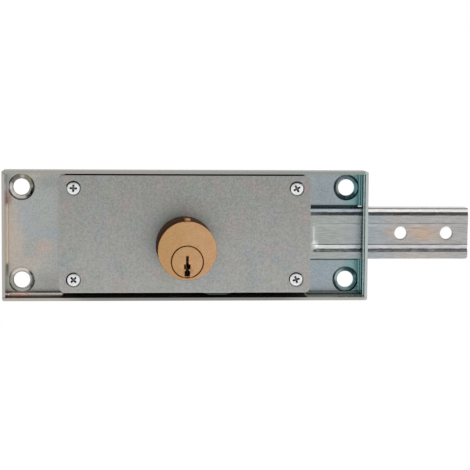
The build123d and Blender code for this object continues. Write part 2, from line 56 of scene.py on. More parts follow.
class Tone:  # one socket, so that shader maths reads as an expression
    def __init__(self, sheet, socket):
        self.sheet, self.socket = sheet, socket

    def maths(self, operation, *values, **settings):
        settings["operation"] = operation
        return self.sheet.node("ShaderNodeMath", settings, dict(enumerate(values)))

    def __add__(self, other):
        return self.maths("ADD", self, other)

    def __sub__(self, other):
        return self.maths("SUBTRACT", self, other)

    def __rsub__(self, other):
        return self.maths("SUBTRACT", other, self)

    def __mul__(self, other):
        return self.maths("MULTIPLY", self, other)

    def __truediv__(self, other):
        return self.maths("DIVIDE", self, other)

    def __pow__(self, other):
        return self.maths("POWER", self, other)

    def __abs__(self):
        return self.maths("ABSOLUTE", self)

    __radd__ = __add__
    __rmul__ = __mul__

    def rise(self, low, high):  # 0 below low and 1 above high, or the other way round
        return self.sheet.node(
            "ShaderNodeMapRange",
            {"interpolation_type": "SMOOTHSTEP", "clamp": True},
            {"Value": self, "From Min": low, "From Max": high},
        )

    def between(self, low, high, soft):  # 1 from low to high, with soft ends
        return self.rise(low - soft, low + soft) * self.rise(high + soft, high - soft)

    def capped(self):
        return self.maths("ADD", self, 0, use_clamp=True)


class Sheet:  # a node tree that a finish or the studio is written on
    def __init__(self, owner):
        owner.use_nodes = True
        self.tree = owner.node_tree
        self.tree.nodes.clear()

    def node(self, kind, settings=None, values=None, out=0):
        made = self.tree.nodes.new(kind)
        for name, value in (settings or {}).items():
            setattr(made, name, value)
        for key, value in (values or {}).items():
            if isinstance(value, Tone):
                self.tree.links.new(value.socket, made.inputs[key])
            else:
                made.inputs[key].default_value = value
        return Tone(self, made.outputs[out]) if made.outputs else made

    def mix(self, share, first, second, blend="MIX"):  # colours, given as a tone or three numbers
        pair = [tone if isinstance(tone, Tone) else (*tone, 1) for tone in (first, second)]
        settings = {"data_type": "RGBA", "blend_type": blend}
        return self.node("ShaderNodeMix", settings, {0: share, 6: pair[0], 7: pair[1]}, out=2)

    def vector(self, operation, *values, out=0):
        return self.node("ShaderNodeVectorMath", {"operation": operation}, dict(enumerate(values)), out=out)

    def parts(self, point):  # x, y and z of a point
        return [self.node("ShaderNodeSeparateXYZ", None, {0: point}, out=k) for k in range(3)]

    def noise(self, point, scale, detail, roughness=0.5, seed=0.0, out=0):
        values = {"Vector": point, "W": seed, "Scale": scale, "Detail": detail, "Roughness": roughness}
        return self.node("ShaderNodeTexNoise", {"noise_dimensions": "4D"}, values, out=out)


class Finish(Sheet):  # a material whose points are millimetres in the lock's own frame
    def __init__(self, name):
        self.material = bpy.data.materials.new(name)
        super().__init__(self.material)
        place = self.node("ShaderNodeTexCoord", out="Object")
        self.point = self.stretched(1 / mm, 1 / mm, 1 / mm, place)
        self.x, self.y, self.z = self.parts(self.point)

    def stretched(self, x, y, z, point=None):  # the point, drawn out along the grain
        return self.vector("MULTIPLY", point or self.point, (x, y, z))

    def strayed(self, reach, scale, seed):  # the point, led astray so that patches get ragged outlines
        stray = self.noise(self.point, scale, detail=3.0, seed=seed, out="Color")
        stray = self.vector("SUBTRACT", stray, (0.5, 0.5, 0.5))
        return self.vector("ADD", self.point, self.stretched(reach, reach, reach, stray))

    def spot(self, point, centre, reach):  # 1 at a place on the lock, fading out at its reach, both in mm
        offset = self.vector("DIVIDE", self.vector("SUBTRACT", point, centre), reach)
        return self.vector("LENGTH", offset, out="Value").rise(1.0, 0.0)

    def patched(self, colour, patches, point):  # blurred patches laid over a colour
        for centre, reach, tint, share in patches:
            colour = self.mix(self.spot(point, centre, reach) * share, colour, tint)
        return colour

    def grained(self, colour, grain, share):  # fine light and dark grain
        dark, light = (0.2, 0.2, 0.2), (0.8, 0.8, 0.8)
        return self.mix(share, colour, self.mix(grain, dark, light), "SOFT_LIGHT")

    def polar(self, x, z):  # distance from an axis along Y, and the direction away from it
        aside, above = self.x - x, self.z - z
        away = (aside * aside + above * above) ** 0.5
        return away, aside / away, above / away

    def arcMark(self, polar, low, high, angle=0, spread=180):  # a ring, or its part near an angle in degrees
        soft, softTurn = 0.12, 12
        away, aside, above = polar
        mark = away.between(low, high, soft)
        if spread < 180:
            turn = math.radians(angle)
            wide, narrow = math.radians(spread + softTurn), math.radians(max(spread - softTurn, 0))
            toward = aside * math.cos(turn) + above * math.sin(turn)
            mark = mark * toward.rise(math.cos(wide), math.cos(narrow))
        return mark

    def edges(self, reach):  # 1 on worn edges, where a rounded normal leaves the flat one
        rounded = self.node("ShaderNodeBevel", {"samples": 6}, {"Radius": reach * mm})
        flat = self.node("ShaderNodeNewGeometry", out="Normal")
        apart = 1 - self.vector("DOT_PRODUCT", rounded, flat, out="Value")
        return apart.rise(0.02, 0.25)

    def shade(self, colour, roughness, relief, depth, flat=None, matt=None):
        values = {"Height": relief, "Distance": depth * mm, "Strength": 1.0}
        normal = self.node("ShaderNodeBump", None, values)
        if flat:  # where the surface is shaded as if it faced straight forwards
            ways = {"vector_type": "NORMAL", "convert_from": "OBJECT", "convert_to": "WORLD"}
            forwards = self.node("ShaderNodeVectorTransform", ways, {0: (0, -1, 0)})
            values = {0: flat, 4: normal, 5: forwards}
            normal = self.node("ShaderNodeMix", {"data_type": "VECTOR"}, values, out=1)
        values = {"Base Color": colour, "Roughness": roughness, "Metallic": 1.0, "Normal": normal}
        shader = self.node("ShaderNodeBsdfPrincipled", None, values)
        if matt:  # where a dull film hides the metal
            values = {"Base Color": colour, "Roughness": 1.0, "Metallic": 0.0, "Specular IOR Level": 0.0}
            film = self.node("ShaderNodeBsdfPrincipled", None, values)
            shader = self.node("ShaderNodeMixShader", None, {0: matt, 1: shader, 2: film})
        self.node("ShaderNodeOutputMaterial", None, {"Surface": shader})
        return self.material


viewpoint = {  # place in metres, turns in degrees, lens and sensor in mm
    "place": (-0.0304, -0.678, 0.057),
    "yaw": 4.40,
    "pitch": -4.86,
    "roll": 0.39,
    "lens": 120.5,
    "sensor": 36,
}


def turned(first, second, angle):  # two directions, turned in their own plane
    along, aside = math.cos(angle), math.sin(angle)
    return first * along + second * aside, second * along - first * aside


def makeCamera(look):
    yaw, pitch, roll = (math.radians(look[key]) for key in ("yaw", "pitch", "roll"))
    right, up = Vector((math.cos(yaw), -math.sin(yaw), 0)), Vector((0, 0, 1))
    ahead = Vector((math.sin(yaw), math.cos(yaw), 0))
    ahead, up = turned(ahead, up, pitch)
    right, up = turned(right, up, roll)
    lens = bpy.data.cameras.new("photoCamera")
    lens.sensor_width, lens.lens, lens.clip_start = look["sensor"], look["lens"], 0.01
    camera = bpy.data.objects.new("photoCamera", lens)
    turn = Matrix((right, up, -ahead)).transposed().to_4x4()
    camera.matrix_world = Matrix.Translation(look["place"]) @ turn
    scene.collection.objects.link(camera)
    scene.camera = camera


studio = {
    "ahead": 1.0,  # light from in front
    "facing": (0.45, -0.05),  # Y of a direction over which the front part of the studio begins
    "shade": (0.25, 0.80, 0.12, 0.95),  # dark part above it: from and to which Z, soft ends, how dark
    "left": (-0.30, -0.75, 0.85),  # the dark left side: where it starts and ends, how dark
    "right": (0.30, 0.75, 0.60),  # the brighter right side: where it starts and ends, how much more light
    "lampPlace": (0.14, -0.30, -0.60),
    "lampSize": (0.75, 0.42),
    "lampPower": 1.05,
    "floorHeight": -0.9,
    "floorReach": 6.0,
    "floorTint": (0.9, 0.9, 0.9, 1),
    "floorGlow": (1.04, 0.93),  # how bright, and its share of what the camera and mirrors see
}


def makeStudio(look):
    world = bpy.data.worlds.new("softStudio")
    scene.world = world
    sheet = Sheet(world)
    toward = sheet.node("ShaderNodeTexCoord", out="Generated")
    x, y, z = sheet.parts(toward)
    ahead = y.rise(*look["facing"])
    low, high, soft, darkAbove = look["shade"]
    leftStart, leftEnd, darkLeft = look["left"]
    rightStart, rightEnd, brightRight = look["right"]
    level = look["ahead"] * (1 - darkAbove * z.between(low, high, soft) * ahead)
    level = level * (1 - darkLeft * x.rise(leftStart, leftEnd) * ahead)
    level = level + brightRight * x.rise(rightStart, rightEnd)
    seen = sheet.node("ShaderNodeLightPath", out="Is Camera Ray")
    strength = level * (1 - seen) + seen
    light = sheet.node("ShaderNodeBackground", None, {"Color": (1, 1, 1, 1), "Strength": strength})
    sheet.node("ShaderNodeOutputWorld", None, {"Surface": light})

    lamp = bpy.data.lights.new("lowSoftbox", "AREA")
    lamp.shape, lamp.size, lamp.size_y = "RECTANGLE", *look["lampSize"]
    lamp.energy = look["lampPower"]
    softbox = bpy.data.objects.new("lowSoftbox", lamp)
    softbox.location = look["lampPlace"]
    softbox.rotation_mode = "QUATERNION"
    softbox.rotation_quaternion = (-Vector(look["lampPlace"])).to_track_quat("-Z", "Y")
    scene.collection.objects.link(softbox)

    disc = bmesh.new()
    place = Matrix.Translation((0, 0, look["floorHeight"]))
    bmesh.ops.create_circle(disc, cap_ends=True, segments=96, radius=look["floorReach"], matrix=place)
    mesh = bpy.data.meshes.new("paleFloor")
    disc.to_mesh(mesh)
    floor = bpy.data.objects.new("paleFloor", mesh)
    scene.collection.objects.link(floor)
    paper = bpy.data.materials.new("palePaper")
    sheet = Sheet(paper)
    kinds = ("Is Camera Ray", "Is Glossy Ray", "Is Transmission Ray")
    rays = [sheet.node("ShaderNodeLightPath", out=kind) for kind in kinds]
    seen = (rays[0] + rays[1] + rays[2]).capped()
    strength, share = look["floorGlow"]
    matt = sheet.node("ShaderNodeBsdfDiffuse", None, {"Color": look["floorTint"]})
    glow = sheet.node("ShaderNodeEmission", None, {"Color": (1, 1, 1, 1), "Strength": strength})
    both = sheet.node("ShaderNodeMixShader", None, {0: seen * share, 1: matt, 2: glow})
    sheet.node("ShaderNodeOutputMaterial", None, {"Surface": both})
    mesh.materials.append(paper)


makeCamera(viewpoint)
makeStudio(studio)
scene.view_settings.view_transform = "Standard"
print("camera, lamp and floor made")

zincCaseLook = {
    "grey": (0.36, 0.37, 0.35),
    "bluish": (0.31, 0.355, 0.375),
    "teal": (0.19, 0.35, 0.36),
    # tint of the painted shade on the case's upward-facing top
    "shadedTop": (0.33, 0.32, 0.30),
    "grain": 0.38,
    "places": {  # over which X, Z or height a mark comes in, or from where to where and how soft
        "bluish": (35, 60),
        "teal": (66, 75.5),
        "front": (0.3, 0.9),
        "rightBay": (53, 54),
        "leftFold": (-18, 14, 2),
        "foldStart": (1.2, 1.22),
        "foldEnd": (2.3, 2.2),
        "belowRim": (15.4, 15.2),
        "rim": (15.1, 15.35),
        "upperRim": (25.8, 26.2),
        "topEdgeShade": (26.7, 27.1),
        "rightRim": (75.9, 76.3),
        "topRight": (-20, 60),
        "lowMiddle": (-47, 47, 9),
        "shadedTop": (27.25, 27.45),
        "shadedTopEnd": (15.35, 15.0),
        "slitShadowEnd": (13, 12),
        "bendX": (75.3, 76.1, 0.05),
        "bendZ": (25.3, 26.1, 0.05),
        "bend": (1.22, 2.2, 0.02),
        "brightBand": (9.8, 12.8, 0.3),
    },
    "faces": {  # inner sides of the walls: from and to which X or Z
        "right": (75.8, 76.5),
        "left": (-76.5, -75.8),
        "low": (-26.5, -25.8),
    },
    "rims": {
        "low": (0.45, 0.42, 0.38),
        "lowMiddle": (0.25, 0.24, 0.22),
        "top": (0.37, 0.35, 0.32),
        "topRight": (0.28, 0.31, 0.28),
        "right": (0.50, 0.54, 0.53),
    },
    "patches": [  # centre, reach, tint and share
        ((-74, -1, -2), (7.0, 8, 30), (0.52, 0.44, 0.37), 0.9),
        ((-67.5, -1, 6), (8.0, 8, 15), (0.36, 0.39, 0.42), 0.6),
        ((-60, -1, 12), (8.0, 8, 11), (0.36, 0.39, 0.37), 0.7),
        ((-58, -1, 0), (8.5, 8, 6.5), (0.33, 0.38, 0.42), 0.65),
        ((-60.5, -1, -6.5), (7.0, 8, 5.5), (0.53, 0.38, 0.33), 0.6),
        ((-65, -1, 25.2), (10.0, 8, 2.4), (0.48, 0.42, 0.33), 0.7),
        ((-66, -1, -13), (10.0, 8, 6), (0.48, 0.42, 0.36), 0.7),
        ((-58, -1, -21), (8.0, 8, 7), (0.31, 0.30, 0.29), 0.9),
        ((-58, -1, 22), (8.0, 8, 6), (0.29, 0.31, 0.30), 0.9),
        ((60, -1, -16), (9.0, 8, 8), (0.30, 0.36, 0.40), 0.8),
        ((60, -1, 18), (8.0, 8, 9), (0.28, 0.32, 0.34), 0.9),
    ],
    "walls": {  # painted reflections, highlights and shade in bands up a wall: from and to which height and place, tint, share, how matt
        "right": [
            (1.4, 8.0, -30, 30, (0.13, 0.30, 0.33), 0.95, 0),
            (5.4, 8.9, -30, 30, (0.04, 0.12, 0.13), 0.9, 0.8),
            (9.8, 12.8, -30, 30, (0.52, 0.66, 0.63), 1.0, 0),
            (13.5, 16.0, -30, 30, (0.04, 0.06, 0.05), 0.98, 0.9),
        ],
        "left": [
            (1.4, 13.8, -13, 13, (0.80, 0.72, 0.61), 1.0, 0),
            (14.5, 16.0, -30, 30, (0.14, 0.11, 0.09), 0.9, 0.5),
        ],
        "low": [
            (1.4, 4.2, -80, -52, (1.0, 0.97, 0.92), 1.0, 0),
            (4.9, 16.0, -80, -52, (0.07, 0.055, 0.045), 0.95, 0.85),
            (1.3, 16.0, -52.5, 52, (0.035, 0.033, 0.030), 0.98, 0.95),
            (1.4, 6.0, 52.5, 80, (0.14, 0.18, 0.17), 0.95, 0.8),
            (6.5, 14.5, 52.5, 80, (0.60, 0.62, 0.56), 0.9, 0.3),
        ],
    },
    # tinted patches on the walls; the brownish one at X -4 on the low wall is a painted reflection of the
    # brass cylinder
    "wallTints": [
        ((-75.5, -5, 14.5), (2.5, 9, 5), (0.30, 0.11, 0.06), 0.65),
        ((-72, -11, -26), (10, 7, 2.5), (0.28, 0.06, 0.03), 0.9),
        ((-71, -3, -26), (9, 3.5, 2.5), (0.95, 0.62, 0.52), 0.8),
        ((-60, -8, -26), (9, 7, 2.5), (0.30, 0.21, 0.10), 0.5),
        ((60, -9, -26), (22, 7, 2.5), (0.03, 0.12, 0.10), 0.6),
        ((-4, -9, -26), (5, 5, 2.5), (0.30, 0.25, 0.17), 0.7),
    ],
    "shadows": [(11.6, 12.5, 0.9), (-11.65, -10.9, 0.85)],  # beside the bolt: from and to which Z, share
    "shadow": (0.02, 0.045, 0.05),
    "slitShadow": (24.3, 26.3, -51.5, 51.5),  # painted shadow on the floor seen past the cover's upper edge: from and to which Z and X
    "folds": {  # painted highlight and shade lines in the inner bends: from and to which X or Z, share and tint
        "right": (75.5, 76.05, 0.8, (0.42, 0.66, 0.67)),
        "left": (-76.1, -75.7, 0.8, (0.10, 0.075, 0.055)),
        "low": (-25.45, -25.0, 0.85, (0.09, 0.085, 0.075)),
        "lowLight": (-26.1, -25.7, 0.8, (0.60, 0.57, 0.52)),
    },
    "dishes": [  # painted shade and highlights in the fixing holes' dishes: place, then marks: from and to which radius, about which angle, how far round, tint, share
        ((-70, 20), [
            (3.9, 5.5, 135, 38, (0.10, 0.095, 0.08), 0.9),
            (3.9, 5.5, 40, 34, (0.15, 0.145, 0.085), 0.85),
            (4.9, 5.6, 18, 22, (0.03, 0.03, 0.015), 0.9),
            (4.2, 5.55, -33, 30, (0.004, 0.004, 0.006), 1.0),
            (3.9, 5.4, -112, 42, (0.62, 0.60, 0.55), 0.85),
            (3.9, 5.6, 178, 14, (0.70, 0.64, 0.60), 0.8),
            (5.5, 5.8, -100, 62, (0.06, 0.05, 0.04), 0.9),
            (3.3, 3.8, 60, 150, (0.06, 0.05, 0.04), 0.85),
        ]),
        ((-70, -20), [
            (3.8, 5.3, 100, 45, (0.72, 0.64, 0.58), 0.8),
            (4.3, 5.2, 0, 46, (0.035, 0.035, 0.025), 0.95),
            (3.8, 5.3, 200, 40, (0.26, 0.26, 0.20), 0.7),
            (3.8, 4.3, -25, 35, (0.20, 0.20, 0.19), 0.8),
            (3.3, 3.8, 165, 110, (0.05, 0.035, 0.02), 0.95),
        ]),
        ((70, 20), [
            (3.7, 5.6, 0, 180, (0.045, 0.085, 0.10), 0.85),
            (4.5, 5.6, 188, 42, (0.008, 0.012, 0.018), 0.95),
            (3.6, 4.3, 165, 60, (0.26, 0.28, 0.28), 0.9),
            (3.6, 5.5, -80, 55, (0.008, 0.03, 0.035), 0.9),
            (4.6, 5.6, 50, 32, (0.01, 0.03, 0.035), 0.9),
            (3.8, 5.4, -5, 26, (0.10, 0.24, 0.25), 0.8),
        ]),
        ((70, -20), [
            (3.7, 5.6, 0, 180, (0.06, 0.12, 0.13), 0.85),
            (4.4, 5.6, 195, 45, (0.012, 0.018, 0.022), 0.95),
            (3.6, 5.4, 58, 34, (0.008, 0.035, 0.04), 0.95),
            (3.8, 4.6, 150, 34, (0.40, 0.50, 0.48), 0.8),
            (3.7, 4.6, -110, 36, (0.22, 0.30, 0.30), 0.8),
            (4.2, 5.4, -25, 30, (0.02, 0.06, 0.07), 0.8),
        ]),
    ],
}


def zincCase(look):
    finish = Finish("zincPlatedCase")
    places = look["places"]
    height = 0 - finish.y
    front = height.rise(*places["front"])
    loose = finish.strayed(6, 0.16, 3.0)
    colour = finish.mix(finish.x.rise(*places["bluish"]), look["grey"], look["bluish"])
    colour = finish.mix(finish.x.rise(*places["teal"]), colour, look["teal"])
    colour = finish.patched(colour, look["patches"], loose)
    grain = finish.noise(finish.point, 1.7, detail=4.0, roughness=0.65, seed=5.0)
    colour = finish.grained(colour, grain.rise(0.3, 0.7), look["grain"])
    uneven = finish.noise(finish.point, 0.7, detail=3.0, seed=23.0).rise(0.3, 0.6)
    # painted shade and highlights in the dishes round the fixing holes
    for (x, z), marks in look["dishes"]:
        polar = finish.polar(x, z)
        for low, high, angle, spread, tint, share in marks:
            mark = finish.arcMark(polar, low, high, angle, spread) * (0.7 + uneven * 0.3) * share
            colour = finish.mix(mark, colour, tint)
    inBay = finish.x.rise(*places["rightBay"]) * front
    for low, high, share in look["shadows"]:
        shadow = finish.z.between(low, high, 0.15) * inBay
        colour = finish.mix(shadow * share, colour, look["shadow"])
    inside = height.rise(*places["foldStart"]) * height.rise(*places["foldEnd"])
    # painted highlights and shade along the inner bends
    for name, (low, high, share, tint) in look["folds"].items():
        across = finish.z if name.startswith("low") else finish.x
        fold = across.between(low, high, 0.1)
        if name == "left":
            fold = fold * finish.z.between(*places["leftFold"])
        colour = finish.mix(fold * share * inside, colour, tint)
    belowRim = height.rise(*places["belowRim"])
    faces = {}
    for name, (low, high) in look["faces"].items():
        across = finish.z if name == "low" else finish.x
        faces[name] = across.between(low, high, 0.1) * belowRim
    walls = (faces["right"] + faces["left"] + faces["low"]).capped()
    matt = 0
    # painted reflections, highlights and shade on the inner walls, and shade under the cover
    for name, lightAndShadeBands in look["walls"].items():
        along = finish.x if name == "low" else finish.z
        for low, high, start, end, tint, share, dull in lightAndShadeBands:
            lightAndShadeBand = height.between(low, high, 0.3) * along.between(start, end, 0.5) * faces[name]
            colour = finish.mix(lightAndShadeBand * share, colour, tint)
            matt = lightAndShadeBand * dull + matt
    # tinted wall patches, with the painted reflection of the cylinder
    colour = finish.patched(colour, look["wallTints"], finish.strayed(3, 0.3, 9.0))
    # the rim's upper edge takes on the top's painted shade
    rims, topEdgeShade = look["rims"], finish.z.rise(*places["topEdgeShade"]) * 0.35
    rimTop = finish.mix(finish.x.rise(*places["topRight"]), rims["top"], rims["topRight"])
    rimTop = finish.mix(topEdgeShade, rimTop, look["shadedTop"])
    rimLow = finish.mix(finish.x.between(*places["lowMiddle"]), rims["low"], rims["lowMiddle"])
    rimTint = finish.mix(finish.z.rise(*places["upperRim"]), rimLow, rimTop)
    rimTint = finish.mix(finish.x.rise(*places["rightRim"]), rimTint, rims["right"])
    colour = finish.mix(height.rise(*places["rim"]) * 0.9, colour, rimTint)
    # painted shade on the top face, which faces up, away from the light
    shadedTop = finish.z.rise(*places["shadedTop"]) * height.rise(*places["shadedTopEnd"]) * 0.9
    colour = finish.mix(shadedTop, colour, look["shadedTop"])
    # painted shadow on the floor under the cover's upper edge
    low, high, start, end = look["slitShadow"]
    slitShadow = finish.z.between(low, high, 0.1) * finish.x.between(start, end, 0.5)
    slitShadow = slitShadow * height.rise(*places["slitShadowEnd"]) * front
    colour = finish.mix(slitShadow * 0.97, colour, look["shadow"])
    worn = finish.edges(0.35)
    colour = finish.mix(worn * 0.25, colour, rims["low"])
    bends = abs(finish.x).between(*places["bendX"]) + abs(finish.z).between(*places["bendZ"])
    bends = bends.capped() * height.between(*places["bend"])
    bends = (faces["right"] * height.between(*places["brightBand"]) + bends).capped()
    matt = (shadedTop * 0.7 + slitShadow * 0.9 + matt).capped()
    rough = 0.20 + (grain - 0.5) * 0.12 + worn * 0.12 - walls * 0.04
    return finish.shade(colour, rough, grain, 0.012, bends, matt)


zincCoverLook = {
    "top": (0.325, 0.325, 0.305),
    "low": (0.385, 0.385, 0.365),
    "tints": [  # seed of the pattern, tint and share
        (31.0, (0.42, 0.34, 0.33), 0.45),
        (37.0, (0.32, 0.35, 0.39), 0.45),
        (41.0, (0.31, 0.355, 0.30), 0.45),
    ],
    "grain": 0.55,
    "edge": (0.52, 0.53, 0.50),
    # painted shade on the cover's lower side and tab, down in the gap
    "shadedTab": (0.035, 0.05, 0.045),
    "sinks": [  # X and Z of a screw, and the direction of its painted shadow in degrees
        (-47.65, 20.05, 88),
        (47.05, 20.05, 120),
        (-47.65, -18.75, 140),
        (47.05, -18.75, 118),
    ],
    "sinkReach": (3.15, 3.2, 76),  # radius of the cone and of its painted shadow, and how far round that goes
    "cone": (0.33, 0.33, 0.32),
    "shadowTint": (0.008, 0.008, 0.008),
    "places": {  # over which X, Y or Z a mark comes in, or between which it stays
        "low": (24, -20),
        "frontFace": (-13.6, -13.8),
        "sideFace": (-14.0, -13.8),
        "lowerEdge": (-24.35, -23.85, 0.12),
        "shadedTab": (-24.2, -24.4),
        "upperEdge": (25.3, 25.45),
        "upperRun": (-51, 50.5, 0.3),
    },
}


def zincCover(look):
    finish = Finish("zincPlatedCover")
    places = look["places"]
    colour = finish.mix(finish.z.rise(*places["low"]), look["top"], look["low"])
    for seed, tint, share in look["tints"]:
        patch = finish.noise(finish.point, 0.13, detail=3.0, seed=seed).rise(0.50, 0.68)
        colour = finish.mix(patch * share, colour, tint)
    speckle = finish.noise(finish.point, 1.5, detail=4.0, roughness=0.7, seed=43.0)
    colour = finish.grained(colour, speckle.rise(0.3, 0.7), look["grain"])
    coneReach, darkReach, darkSpread = look["sinkReach"]
    cones = 0
    for x, z, angle in look["sinks"]:
        polar = finish.polar(x, z)
        cone = finish.arcMark(polar, -1, coneReach)
        colour = finish.mix(cone, colour, look["cone"])
        # painted shadow of the raised head on one side of its cone
        colour = finish.mix(finish.arcMark(polar, -1, darkReach, angle, darkSpread), colour, look["shadowTint"])
        cones = cone + cones
    worn = finish.edges(0.3)
    # worn edges, and a painted highlight along the front face's lower edge
    lowerEdgeHighlight = finish.z.between(*places["lowerEdge"]) * finish.y.rise(*places["frontFace"])
    colour = finish.mix((worn * 0.5 + lowerEdgeHighlight * 0.6).capped(), colour, look["edge"])
    # painted shade on the cover's lower side and tab
    colour = finish.mix(finish.z.rise(*places["shadedTab"]), colour, look["shadedTab"])
    rough = 0.34 + (speckle - 0.5) * 0.25
    # painted shade on the cover's upper side, in the gap under the case's rim
    upperEdgeShadow = finish.z.rise(*places["upperEdge"]) * finish.y.rise(*places["sideFace"])
    upperEdgeShadow = upperEdgeShadow * finish.x.between(*places["upperRun"])
    colour = finish.mix(upperEdgeShadow * 0.9, colour, look["shadowTint"])
    return finish.shade(colour, rough, speckle, 0.03, matt=(cones * 0.8 + upperEdgeShadow * 0.9).capped())


zincBoltLook = {
    "inner": (0.375, 0.40, 0.385),
    "middle": (0.36, 0.395, 0.415),
    "outer": (0.42, 0.41, 0.405),
    "patches": [  # centre, reach, tint and share
        ((101, -6, -9.2), (26, 4, 2.2), (0.49, 0.45, 0.42), 0.8),
        ((103.3, -6.1, 0.4), (13, 5, 5.5), (0.56, 0.40, 0.29), 0.8),
        ((89.0, -6.1, 0.6), (5, 5, 5.0), (0.50, 0.40, 0.33), 0.6),
        ((112.0, -6.1, -1.0), (6, 5, 6.0), (0.40, 0.40, 0.38), 0.5),
    ],
    # tint of the painted shade in the grooves and creases
    "dark": (0.10, 0.10, 0.11),
    "grooveShades": [(8.45, 9.6, 0.9), (-7.4, -6.2, 0.85)],  # painted shade on the grooves' upward flanks: from and to which Z, how dark
    "creaseShades": [(4.72, 0.6), (-4.42, 0.65), (2.96, 0.25)],  # painted shade in the pad's creases: at which Z, how dark
    "lights": [  # painted highlights on the pad's side: centre, reach, tint and share
        ((55.4, -6.3, 0.5), (1.1, 2, 7), (0.60, 0.63, 0.61), 0.35),
        ((55.9, -6.3, -4.3), (2.2, 2, 2.6), (0.80, 0.82, 0.80), 0.8),
    ],
    "lightAndShadeBands": [  # painted highlights and shade on the grooves' flanks, in and out of the case: from and to which Z and X, tint and share
        (9.75, 12.0, 77, 124, (0.64, 0.62, 0.61), 0.85),
        (9.75, 10.9, 53, 76, (0.24, 0.30, 0.33), 0.85),
        (-6.2, -4.5, 77, 124, (0.29, 0.28, 0.285), 0.85),
    ],
    "dull": (8.3, 9.8, 0.30),  # the upper groove's steep side: from and to which Z, how much rougher
    "shadow": (0.02, 0.04, 0.05),
    "edge": (0.60, 0.60, 0.58),
    "grain": 0.5,
    "places": {  # over which X, Y or Z a mark comes in
        "middle": (66, 76),
        "outer": (80, 94),
        "face": (-4.9, -5.2),
        "grooveShades": (53, 60),
        "creaseShades": (56, 60),
        "covered": (81, 75),
        "shadow": (10.95, 11.2),
    },
}


def zincBolt(look):
    finish = Finish("zincPlatedBolt")
    places = look["places"]
    wander = finish.noise(finish.point, 0.12, detail=2.0, seed=51.0)
    along = finish.x + (wander - 0.5) * 14
    colour = finish.mix(along.rise(*places["middle"]), look["inner"], look["middle"])
    colour = finish.mix(along.rise(*places["outer"]), colour, look["outer"])
    colour = finish.patched(colour, look["patches"], finish.strayed(5, 0.3, 53.0))
    # painted highlights and shade on the grooves' flanks
    for low, high, start, end, tint, share in look["lightAndShadeBands"]:
        lightAndShadeBand = finish.z.between(low, high, 0.15) * finish.x.between(start, end, 2.5)
        colour = finish.mix(lightAndShadeBand * share, colour, tint)
    drawn = finish.noise(finish.stretched(0.3, 1, 2.5), 0.9, detail=4.0, roughness=0.6, seed=57.0)
    colour = finish.grained(colour, drawn.rise(0.25, 0.75), look["grain"])
    face = finish.y.rise(*places["face"])
    stray = finish.noise(finish.stretched(0.5, 1, 1), 0.8, detail=3.0, seed=61.0)
    ragged = finish.z + (stray - 0.5) * 0.9
    blotch = finish.noise(finish.stretched(0.35, 1, 1), 0.6, detail=3.0, seed=63.0).rise(0.3, 0.55)
    # painted shade on the grooves' upward flanks, with ragged edges
    for low, high, share in look["grooveShades"]:
        grooveShade = ragged.between(low, high, 0.12) * face * finish.x.rise(*places["grooveShades"])
        colour = finish.mix(grooveShade * (0.45 + blotch * 0.55) * share, colour, look["dark"])
    smudge = finish.noise(finish.stretched(0.2, 1, 1), 0.5, detail=3.0, seed=59.0).rise(0.35, 0.65)
    # painted shade along the pad's creases
    for level, share in look["creaseShades"]:
        line = abs(finish.z - level).rise(0.32, 0.08) * finish.x.rise(*places["creaseShades"]) * face
        colour = finish.mix(line * (0.3 + smudge * 0.7) * share, colour, look["dark"])
    # painted highlights on the pad's side
    colour = finish.patched(colour, look["lights"], finish.point)
    worn = finish.edges(0.3)
    colour = finish.mix(worn * 0.3, colour, look["edge"])
    shadow = finish.z.rise(*places["shadow"]) * finish.x.rise(*places["covered"])
    colour = finish.mix(shadow * 0.9, colour, look["shadow"])
    low, high, rougher = look["dull"]
    rough = 0.26 + (drawn - 0.5) * 0.2 + finish.z.between(low, high, 0.2) * face * blotch * rougher
    return finish.shade(colour, rough, drawn, 0.018)


brassLook = {
    "left": (0.54, 0.325, 0.145),
    "right": (0.61, 0.365, 0.20),
    "mottle": (0.56, 0.30, 0.135),
    "tarnish": (0.30, 0.14, 0.06),
    "barrelShade": ((0.11, 0.065, 0.045), (0.06, 0.012, 0.004)),  # painted shade on the barrel's side: near the cover and near its face
    "edge": (0.80, 0.56, 0.36),
    "gap": (0.17, 0.075, 0.022),
    "marks": [  # painted shade in the keyway's foot and round the strip's lug: centre, reach, tint and share
        ((-0.7, -37.5, -15.2), (1.6, 3.5, 0.7), (0.015, 0.006, 0.004), 1.0),
        ((0.1, -39.5, 8.1), (1.1, 1.2, 0.4), (0.16, 0.06, 0.02), 0.8),
        ((-1.9, -39.0, 9.0), (1.4, 2.5, 2.0), (0.13, 0.05, 0.02), 1.0),
        ((0.2, -39.0, 9.2), (2.2, 2.5, 1.1), (0.34, 0.20, 0.09), 0.9),
    ],
    "axis": (-0.7, -4.0),
    "plugAxis": (-0.7, -8.55),
    "faceRadius": 11.95,
    "plugRadius": 6.5,
    "grain": 0.35,
    "places": {  # over which X, Y or Z a mark comes in
        "right": (-11, 10),
        "barrelShade": (8.6, 8.3),
        "barrelFront": (-16, -36),
    },
}


